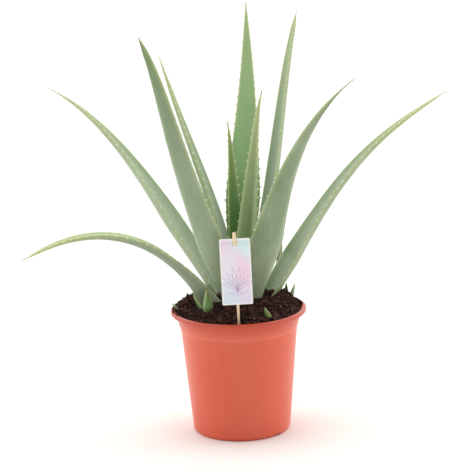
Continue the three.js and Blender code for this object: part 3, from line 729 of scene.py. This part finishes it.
def lathe(outline, segments):
    """Points and faces of a closed turned body. The outline starts and ends on the axis."""
    middle = outline[1:-1]
    angles = np.linspace(0, 2 * math.pi, segments, endpoint=False)
    points = [(r * math.cos(a), r * math.sin(a), z) for a in angles for r, z in middle]
    start, end = len(points), len(points) + 1
    points += [(0, 0, outline[0][1]), (0, 0, outline[-1][1])]
    count = len(middle)
    faces = []
    for a in range(0, start, count):
        b = (a + count) % start
        faces += [(start, b, a), (end, a + count - 1, b + count - 1)]
        faces += [(a + k, b + k, b + k + 1, a + k + 1) for k in range(count - 1)]
    return points, faces


def box_at(size, matrix):
    """A cutter for the pot's openings."""
    mesh = bpy.data.meshes.new("cutter")
    shape = bmesh.new()
    bmesh.ops.create_cube(shape, size=1, matrix=matrix @ Matrix.Diagonal((*size, 1)))
    shape.to_mesh(mesh)
    shape.free()
    return put_in_scene("cutter", mesh)


def apply_modifiers(piece):
    """Gives a piece the mesh that its modifiers make, and takes them off."""
    bpy.context.view_layer.update()
    evaluated = piece.evaluated_get(bpy.context.evaluated_depsgraph_get())
    mesh = bpy.data.meshes.new_from_object(evaluated)
    piece.modifiers.clear()
    piece.data = mesh


def make_pot():
    """The pot, with its openings cut and its painted edge highlight and painted rim shade marked for its
    material.
    """
    points, faces = lathe(pot_outline(), POT_SEGMENTS)
    piece = build("nursery_pot", points, faces, pot_material(), ["pot"])
    openings = [
        (NOTCH_COUNT, NOTCH_ANGLE, WALL_BOTTOM, 0, (NOTCH_REACH, NOTCH_WIDTH, 2 * NOTCH_HEIGHT)),
        (SLOT_COUNT, 0, sum(CHANNEL) / 2, CHANNEL_DEPTH + WALL, (SLOT_LENGTH, SLOT_WIDTH, 4 * WALL)),
    ]
    cutters = []
    for count, first, radius, z, size in openings:
        for i in range(count):
            turn = Matrix.Rotation(math.radians(first + 360 * i / count), 4, "Z")
            cutters.append(box_at(size, turn @ Matrix.Translation((radius, 0, z))))
    for cutter in cutters:
        cut = piece.modifiers.new("cut", "BOOLEAN")
        cut.operation = "DIFFERENCE"
        cut.solver = "EXACT"
        cut.object = cutter
    apply_modifiers(piece)
    for cutter in cutters:
        bpy.data.objects.remove(cutter)
    mesh = piece.data
    mesh.shade_smooth()
    mesh.set_sharp_from_angle(angle=math.radians(42))
    place = rows([v.co for v in mesh.vertices])
    radius = np.hypot(place[:, 0], place[:, 1])
    on_rim = np.exp(-(((radius - RIM_RADIUS) / 0.0006) ** 2)) * (place[:, 2] > POT_HEIGHT - RIM_HEIGHT)
    on_step = np.exp(-(((place[:, 2] - STEP_Z - STEP) / 0.0005) ** 2)) * (radius > COLLAR_BOTTOM - WALL)
    # painted highlight on the rim's outer face and the step's edge
    painted_edge_highlight = np.clip(0.5 * on_rim + on_step, 0, 1)
    give_values(mesh, "painted_edge_highlight", painted_edge_highlight)
    # painted shade over the rim, and painted shadow fading out from 0.5 to 2.5 mm below it
    rim_painted_shade = smooth((place[:, 2] - POT_HEIGHT + RIM_HEIGHT + 2.5 * MM) / (2 * MM))
    give_values(mesh, "rim_painted_shade", rim_painted_shade)


# ---- peat


def peat_height(x, y):
    """The mean height of the peat's top: a dome with heaps, lower towards the front."""
    share = min(1, math.hypot(x, y) / PEAT_RADIUS)
    height = POT_HEIGHT - PEAT_EDGE_DROP + PEAT_FRONT_DROP * y / PEAT_RADIUS
    height += PEAT_DOME * (1 - share**2.6)
    fade = 1 - share**8
    for heap_x, heap_y, rise, spread in PEAT_HEAPS:
        away = math.hypot(x - heap_x * MM, y - heap_y * MM) / (spread * MM)
        height += rise * MM * math.exp(-away * away) * (0.6 + 0.4 * fade)
    return height


def inside_radius(z):
    """The radius of the pot's inside at a height near its top."""
    collar_low = (STEP_Z + STEP, COLLAR_BOTTOM - WALL)
    collar_high = (POT_HEIGHT - RIM_HEIGHT - WALL, COLLAR_TOP - WALL)
    rim = (POT_HEIGHT - 1.2 * MM, RIM_INSIDE)
    heights, radii = zip(collar_low, collar_high, rim)
    return float(np.interp(z, heights, radii))


def crumbly(x, y):
    """Height of the loose surface above its mean: clods, crumbs and grains."""
    clods = noise.fractal(Vector((x, y, 0.3)) * 70, 0.8, 2.1, 4)
    crumbs = noise.voronoi(Vector((x, y, 0.1)) * 290)[0][0]
    grains = noise.voronoi(Vector((x, y, 0.7)) * 700)[0][0]
    return 1.5 * MM * clods + 1.3 * MM * (0.45 - crumbs) + 0.5 * MM * (0.45 - grains)


def disc_point(a, b):
    """The point of the unit disc for a point of the square from -1 to 1."""
    if a == 0 and b == 0:
        return 0.0, 0.0
    if abs(a) > abs(b):
        radius, angle = a, math.pi / 4 * b / a
    else:
        radius, angle = b, math.pi / 2 - math.pi / 4 * a / b
    return radius * math.cos(angle), radius * math.sin(angle)


def make_peat_body(material):
    """The peat's crumbly top, and plain sides and bottom against the pot."""
    count = PEAT_GRID
    points, faces, tints = [], [], []
    for i in range(count):
        for j in range(count):
            a, b = 2 * i / (count - 1) - 1, 2 * j / (count - 1) - 1
            x, y = disc_point(a, b)
            x, y = x * PEAT_OUTSIDE, y * PEAT_OUTSIDE
            inside = 1 - smooth((math.hypot(x, y) / PEAT_OUTSIDE - 0.94) / 0.06)
            z = peat_height(x, y) + crumbly(x, y) * (0.35 + 0.65 * inside)
            room = (inside_radius(z) - PEAT_TO_WALL) / max(math.hypot(x, y), 1e-6)
            points.append((x * min(room, 1), y * min(room, 1), z))
            tints.append(0.5 + 0.5 * noise.noise(Vector((x, y, 2)) * 160))
    last = count - 1
    for low in (i * count + j for i in range(last) for j in range(last)):
        faces.append((low, low + count, low + count + 1, low + 1))
    border = [*range(last), *(i * count + last for i in range(last))]
    border += [*(last * count + j for j in range(last, 0, -1)), *(i * count for i in range(last, 0, -1))]
    to_side = WALL + PEAT_SIDE_GAP
    bottom_z = CHANNEL_DEPTH + to_side
    wall = [
        (COLLAR_TOP - to_side, POT_HEIGHT - RIM_HEIGHT - WALL),
        (COLLAR_BOTTOM - STEP - to_side, STEP_Z),
        (WALL_BOTTOM - to_side, bottom_z),
    ]
    loop = border
    for radius, z in wall:
        lower = range(len(points), len(points) + len(border))
        for index in border:
            x, y, _ = points[index]
            scale = radius / math.hypot(x, y)
            points.append((x * scale, y * scale, z))
        faces += bridge(loop, lower)
        loop = lower
    bottom = len(points)
    points.append((0, 0, bottom_z))
    faces += [(loop[k - 1], loop[k], bottom) for k in range(len(loop))]
    tints += [0.3] * (len(points) - len(tints))
    build("peat_body", points, faces, material, ["peat"], {"tint": tints})


def crumb_shapes(dice, count):
    """A few rough lumps, as points and faces, that the crumbs are copies of."""
    shapes = []
    for _ in range(count):
        shape = bmesh.new()
        bmesh.ops.create_icosphere(shape, subdivisions=2, radius=1)
        away = Vector((dice.uniform(0, 50), dice.uniform(0, 50), dice.uniform(0, 50)))
        squash = (1, dice.uniform(0.6, 1), dice.uniform(0.4, 0.8))
        points = []
        for vertex in shape.verts:
            broad = noise.noise(vertex.co * 1.3 + away)
            lump = 1 + 0.55 * broad + 0.3 * noise.noise(vertex.co * 3.4 + away)
            points.append([vertex.co[k] * lump * squash[k] for k in range(3)])
        faces = [[v.index for v in f.verts] for f in shape.faces]
        shapes.append((np.array(points), np.array(faces)))
        shape.free()
    return shapes


def plant_tree():
    """All leaves, shoots, the stick and the card, to keep loose peat clear of them."""
    points, faces = [], []
    for name in [*LEAVES, *SHOOTS, "label_stick", "plant_label"]:
        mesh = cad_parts[name].data
        start = len(points)
        points += [v.co.copy() for v in mesh.vertices]
        faces += [[start + i for i in f.vertices] for f in mesh.polygons]
    return BVHTree.FromPolygons(points, faces)


def clear_of(tree, spot, reach):
    return tree.find_nearest(Vector(spot), reach)[0] is None


def disc_spot(dice, radius):
    """A random point of a disc round the axis."""
    radius = radius * math.sqrt(dice.random())
    angle = dice.uniform(0, 2 * math.pi)
    return radius * math.cos(angle), radius * math.sin(angle)


class Crumbs:
    """Rough lumps of peat, each a turned copy of one of a few shapes, as one mesh."""

    def __init__(self, tree):
        self.tree = tree
        self.dice = random.Random("crumbs")
        self.shapes = crumb_shapes(self.dice, CRUMB_KINDS)
        self.points, self.faces, self.tints = [], [], []

    def turned_lump(self):
        lump, sides = self.dice.choice(self.shapes)
        turn = Matrix.Identity(3)
        angles = [self.dice.uniform(0, 2 * math.pi) for _ in range(3)]
        for angle, axis in zip(angles, "XYZ"):
            turn = turn @ Matrix.Rotation(angle, 3, axis)
        return lump @ np.array(turn).T, sides

    def keep(self, lump, sides, size, spot, tint):
        self.faces.append(sides + len(self.points) * len(lump))
        self.points.append(lump * size + spot)
        self.tints.append(np.full(len(lump), tint))

    def scatter(self):
        """Crumbs all over the peat's top. The palest ones are small grains."""
        dice = self.dice
        for _ in range(CRUMBS):
            size = MM * (0.45 + 1.9 * dice.random() ** 2.8)
            x, y = disc_spot(dice, PEAT_RADIUS - size - 0.3 * MM)
            z = peat_height(x, y) + crumbly(x, y) + size * dice.uniform(0.0, 0.55)
            lump, sides = self.turned_lump()
            tint = dice.random()
            if clear_of(self.tree, (x, y, z), size * 1.3):
                size *= 0.6 if tint > 0.955 else 1
                self.keep(lump, sides, size, (x, y, z), tint)

    def spill(self):
        """Crumbs that lie on the pot's rim."""
        dice = self.dice
        for _ in range(SPILLED_CRUMBS):
            size = MM * (0.35 + 1.1 * dice.random() ** 2)
            side_angle, side_spread, reach = dice.choice(SPILLS)
            angle = math.radians(dice.gauss(side_angle, side_spread))
            radius = PEAT_OUTSIDE + dice.uniform(-1.5 * MM, reach)
            pile = max((PEAT_OUTSIDE + reach - radius) * 0.7, 0)
            z = POT_HEIGHT + size * 0.45 + pile * dice.random()
            spot = (radius * math.cos(angle), radius * math.sin(angle), z)
            lump, sides = self.turned_lump()
            if clear_of(self.tree, spot, size * 1.3):
                self.keep(lump, sides, size, spot, dice.random() * 0.9)

    def finish(self, material):
        points, faces = np.concatenate(self.points), np.concatenate(self.faces).tolist()
        build("peat_crumbs", points, faces, material, (), {"tint": np.concatenate(self.tints)})


def tube(line, radii, sides):
    """The points of a thin strand, ring by ring."""
    points = []
    for k, here in enumerate(line):
        along = (line[min(k + 1, len(line) - 1)] - line[max(k - 1, 0)]).normalized()
        across = along.cross(Vector((0.3, 0.2, 1))).normalized()
        up = across.cross(along)
        for i in range(sides):
            angle = 2 * math.pi * i / sides
            points.append(here + radii[k] * (math.cos(angle) * across + math.sin(angle) * up))
    return points


def make_fibres(material, tree):
    """Bark shreds and root hairs lying in the peat's surface."""
    dice = random.Random("fibres")
    points, faces, tints = [], [], []
    steps = FIBRE_STEPS
    for _ in range(FIBRES):
        x, y = disc_spot(dice, PEAT_RADIUS - 6 * MM)
        heading = dice.uniform(0, 2 * math.pi)
        bend = dice.uniform(-0.5, 0.5)
        length = MM * dice.uniform(3, 13)
        thick = MM * dice.uniform(0.1, 0.32)
        arch = MM * dice.uniform(0.2, 1.4)
        line = []
        for k in range(steps):
            t = k / (steps - 1)
            z = peat_height(x, y) + crumbly(x, y) + 0.2 * MM + arch * math.sin(math.pi * t)
            line.append(Vector((x, y, z)))
            x += math.cos(heading) * length / steps
            y += math.sin(heading) * length / steps
            heading += bend / 2
        tint = dice.uniform(0.4, 1.0) * 0.97
        if not all(clear_of(tree, p, 1.2 * MM) for p in line):
            continue
        if any(math.hypot(p.x, p.y) > PEAT_RADIUS - 0.5 * MM for p in line):
            continue
        radii = [thick * (0.35 + 0.65 * math.sin(math.pi * (k + 0.5) / steps)) for k in range(steps)]
        faces += strand_faces(len(points), steps, FIBRE_SIDES)
        points += tube(line, radii, FIBRE_SIDES)
        tints += [tint] * steps * FIBRE_SIDES
    build("peat_fibres", points, faces, material, (), {"tint": tints})


def make_peat():
    tree = plant_tree()
    make_peat_body(peat_material("peat_body", 0.5))
    loose = peat_material("peat_loose", 0.8)
    crumbs = Crumbs(tree)
    crumbs.scatter()
    crumbs.spill()
    crumbs.finish(loose)
    make_fibres(loose, tree)


# ---- label and stick


class Card:
    """Where the label's card lies: its low left corner, its directions and its size."""

    def __init__(self):
        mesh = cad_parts["plant_label"].data
        front = max(mesh.polygons, key=lambda f: f.area if f.normal.y < -0.5 else 0)
        self.out = front.normal.copy()
        points = rows([v.co for v in mesh.vertices])
        middle = points.mean(0)
        longest = Vector(np.linalg.svd(points - middle, full_matrices=False)[2][0])
        up = longest if longest.z > 0 else -longest
        self.up = (up - up.dot(self.out) * self.out).normalized()
        side = self.up.cross(self.out)
        self.side = side if side.x > 0 else -side
        widths = (points - middle) @ np.array(self.side)
        heights = (points - middle) @ np.array(self.up)
        depths = points @ np.array(self.out)
        low = Vector(middle) + self.side * widths.min() + self.up * heights.min()
        self.low = low + self.out * (depths.max() - low.dot(self.out))
        self.width, self.height = np.ptp(widths), np.ptp(heights)

    def at(self, x, z, depth):
        """The point x across and z up the card, and depth in front of it."""
        return self.low + self.side * x + self.up * z + self.out * depth


def card_lines(size, fixed, step):
    """Grid lines over a length, with lines at the fixed places."""
    stops = sorted([0, size, *fixed])
    lines = []
    for low, high in zip(stops, stops[1:]):
        count = max(1, round((high - low) / step))
        lines += [low + (high - low) * k / count for k in range(count)]
    return [*lines, size]


def round_corner(x, z, width, height):
    """A point of the card's grid, moved in where a corner is rounded."""
    corner_x = min(max(x, CARD_CORNER), width - CARD_CORNER)
    corner_z = min(max(z, CARD_CORNER), height - CARD_CORNER)
    away = Vector((x - corner_x, z - corner_z))
    if away.length > CARD_CORNER:
        away *= CARD_CORNER / away.length
    return corner_x + away.x, corner_z + away.y


def card_points(card, across, upward):
    """The grid's points on the card's front and then its back, and the place of each from 0 to 1."""
    bend_low, bend_high = CARD_BEND
    points, places = [], []
    for depth in (0, CARD_THICKNESS):
        for x in across:
            for z in upward:
                back = CARD_STEP_BACK * smooth((z - bend_low) / (bend_high - bend_low))
                x_in, z_in = round_corner(x, z, card.width, card.height)
                points.append(card.at(x_in, z_in, -back - depth))
                places.append((x_in / card.width, z_in / card.height, 0))
    return points, np.array(places)


def card_faces(across, upward, slot_across):
    """The card's front, back and edges, with its slot left open."""
    columns, lines = len(across), len(upward)
    cells = set()
    for i in range(columns - 1):
        for j in range(lines - 1):
            in_slot_x = slot_across[0] <= (across[i] + across[i + 1]) / 2 <= slot_across[1]
            in_slot_z = CARD_SLOT[0] <= (upward[j] + upward[j + 1]) / 2 <= CARD_SLOT[1]
            if not (in_slot_x and in_slot_z):
                cells.add((i, j))
    faces = []
    for i, j in sorted(cells):
        front = [(i + a) * lines + j + b for a, b in ((0, 0), (1, 0), (1, 1), (0, 1))]
        rear = [index + columns * lines for index in front]
        faces += [front, rear[::-1]]
        for k, beside in enumerate(((i, j - 1), (i + 1, j), (i, j + 1), (i - 1, j))):
            if beside not in cells:
                after = (k + 1) % 4
                faces.append([front[k], rear[k], rear[after], front[after]])
    return faces


def make_label():
    """The printed card, as a fine sheet with a bend, a slot and a pale border, and its motif."""
    card = Card()
    width, height = card.width, card.height
    slot_across = (CARD_SLOT_X - CARD_SLOT_HALF, CARD_SLOT_X + CARD_SLOT_HALF)
    across = card_lines(width, [*slot_across, CARD_CORNER, width - CARD_CORNER], CARD_CELL)
    upward = card_lines(height, [*CARD_SLOT, *CARD_BEND, CARD_CORNER, height - CARD_CORNER], CARD_CELL)
    points, places = card_points(card, across, upward)
    x, z = places[:, 0] * width, places[:, 1] * height
    from_edge = np.minimum.reduce([x, width - x, z, height - z])
    border = 1 - smooth((from_edge - 1.0 * MM) / (0.9 * MM))
    faces = card_faces(across, upward, slot_across)
    values = {"card": places, "border": border}
    piece = build("label_card", points, faces, card_material(), ["plant_label"], values)
    piece.data.set_sharp_from_angle(angle=math.radians(50))
    make_motif(card)


def motif_strokes(width, height):
    """The lines of a plain sketch, each with half its width: a fan of leaves over two curved lines."""
    strokes = []
    for lean in MOTIF_LEANS:
        reach = 0.4 * height * (1 - 0.0055 * abs(lean))
        for flank in (-1, 1):
            line = []
            for k in range(15):
                t = k / 14
                angle = math.radians(lean * (0.45 + 0.55 * t))
                belly = flank * 0.035 * height * math.sin(math.pi * t) ** 0.8 * (1 - 0.35 * t)
                x = reach * t * math.sin(angle) + belly * math.cos(angle)
                line.append((x, reach * t * math.cos(angle) - belly * math.sin(angle)))
            strokes.append((line, 0.17 * MM))
    for drop, span in ((0.0, 0.34), (0.035, 0.24)):
        line = []
        for k in range(17):
            t = 2 * k / 16 - 1
            line.append((t * span * width, -drop * height - 0.018 * height * (1 - t * t)))
        strokes.append((line, 0.2 * MM))
    return strokes


def make_motif(card):
    """The sketch on the card, as thin raised ink."""
    points, faces = [], []
    middle_x, middle_z = 0.52 * card.width, 0.2 * card.height
    for line, half in motif_strokes(card.width, card.height):
        faces += strand_faces(len(points), len(line), 4)
        for k, (x, z) in enumerate(line):
            ahead, behind = line[min(k + 1, len(line) - 1)], line[max(k - 1, 0)]
            direction = Vector((ahead[0] - behind[0], ahead[1] - behind[1])).normalized()
            taper = half * (0.45 + 0.55 * math.sin(math.pi * (k + 0.5) / len(line)))
            for way, depth in ((1, 1), (-1, 1), (-1, -1), (1, -1)):
                stroke_x = x - direction.y * taper * way
                stroke_z = z + direction.x * taper * way
                points.append(card.at(middle_x + stroke_x, middle_z + stroke_z, depth * MOTIF_LIFT))
    build("label_motif", points, faces, ink_material())


def make_stick():
    """The CAD stick with its edges softened."""
    shape = bmesh.new()
    shape.from_mesh(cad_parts["label_stick"].data)
    bmesh.ops.remove_doubles(shape, verts=shape.verts, dist=1e-6)
    bmesh.ops.dissolve_limit(shape, angle_limit=math.radians(1), verts=shape.verts, edges=shape.edges)
    shape.verts.index_update()
    points = [v.co for v in shape.verts]
    faces = [[v.index for v in f.verts] for f in shape.faces]
    piece = build("label_stick_wood", points, faces, wood_material(), ["label_stick"])
    shape.free()
    bevel = piece.modifiers.new("edges", "BEVEL")
    bevel.width = 0.28 * MM
    bevel.segments = 3
    bevel.limit_method = "ANGLE"
    bevel.angle_limit = math.radians(35)
    apply_modifiers(piece)
    piece.data.set_sharp_from_angle(angle=math.radians(50))


def dress_roots():
    """The buried stem and roots keep their CAD shape."""
    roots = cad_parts["stem_and_roots"].data
    roots.materials.clear()
    roots.materials.append(root_material())


# ---- stage


def make_stage():
    """A plain pale floor that fills the view behind the pot."""
    reach = FLOOR_REACH
    mesh = bpy.data.meshes.new("floor")
    corners = [(-reach, -reach, 0), (reach, -reach, 0), (reach, reach, 0), (-reach, reach, 0)]
    mesh.from_pydata(corners, [], [(0, 1, 2, 3)])
    surface = Surface("floor_paper", {"Specular IOR Level": 0.05})
    tone = surface.blend(surface.noise(3, 2, 0.5), "FBFAF6", "FDFBF8")
    mesh.materials.append(surface.finish(tone, 0.95))
    floor = put_in_scene("floor", mesh)


def add_light(name, place, size, power):
    """A rectangular lamp that points at the plant."""
    light = bpy.data.lights.new(name, "AREA")
    light.shape = "RECTANGLE"
    light.size, light.size_y = size
    light.energy = power
    lamp = put_in_scene(name, light)
    lamp.location = place
    lamp.rotation_euler = (LIGHT_AIM - lamp.location).to_track_quat("-Z", "Y").to_euler()


def make_light():
    """A bright sky that is stronger behind the plant, and three soft lamps."""
    world = bpy.data.worlds.new("studio")
    world.use_nodes = True
    nodes, links = world.node_tree.nodes, world.node_tree.links
    direction = nodes.new("ShaderNodeTexCoord").outputs["Generated"]
    split = nodes.new("ShaderNodeSeparateXYZ")
    links.new(direction, split.inputs["Vector"])
    strength = nodes.new("ShaderNodeMapRange")
    strength.interpolation_type = "SMOOTHSTEP"
    links.new(split.outputs["Y"], strength.inputs["Value"])
    for key, value in WORLD_RANGE.items():
        strength.inputs[key].default_value = value
    sky = nodes["Background"]
    sky.inputs["Color"].default_value = (1.0, 0.995, 0.985, 1)
    links.new(strength.outputs["Result"], sky.inputs["Strength"])
    bpy.context.scene.world = world
    for settings in LIGHTS:
        add_light(*settings)
    bpy.context.scene.view_settings.view_transform = "Standard"


def make_camera():
    """The camera looks slightly down at the plant from the front."""
    camera = bpy.data.cameras.new("camera")
    camera.lens = CAMERA_LENS
    camera.sensor_width = 36
    camera.clip_end = 30
    holder = put_in_scene("camera", camera)
    angle = math.radians(CAMERA_HEIGHT_ANGLE)
    tilt = Matrix.Rotation(math.radians(90) - angle, 4, "X")
    turn = tilt @ Matrix.Rotation(math.radians(CAMERA_ROLL), 4, "Z")
    away = Vector((0, -math.cos(angle), math.sin(angle))) * CAMERA_DISTANCE
    holder.matrix_world = Matrix.Translation(CAMERA_AIM + away) @ turn
    bpy.context.scene.camera = holder


# ---- all together

make_camera()
make_leaves()
make_pot()
make_peat()
make_label()
make_stick()
dress_roots()
make_stage()
make_light()
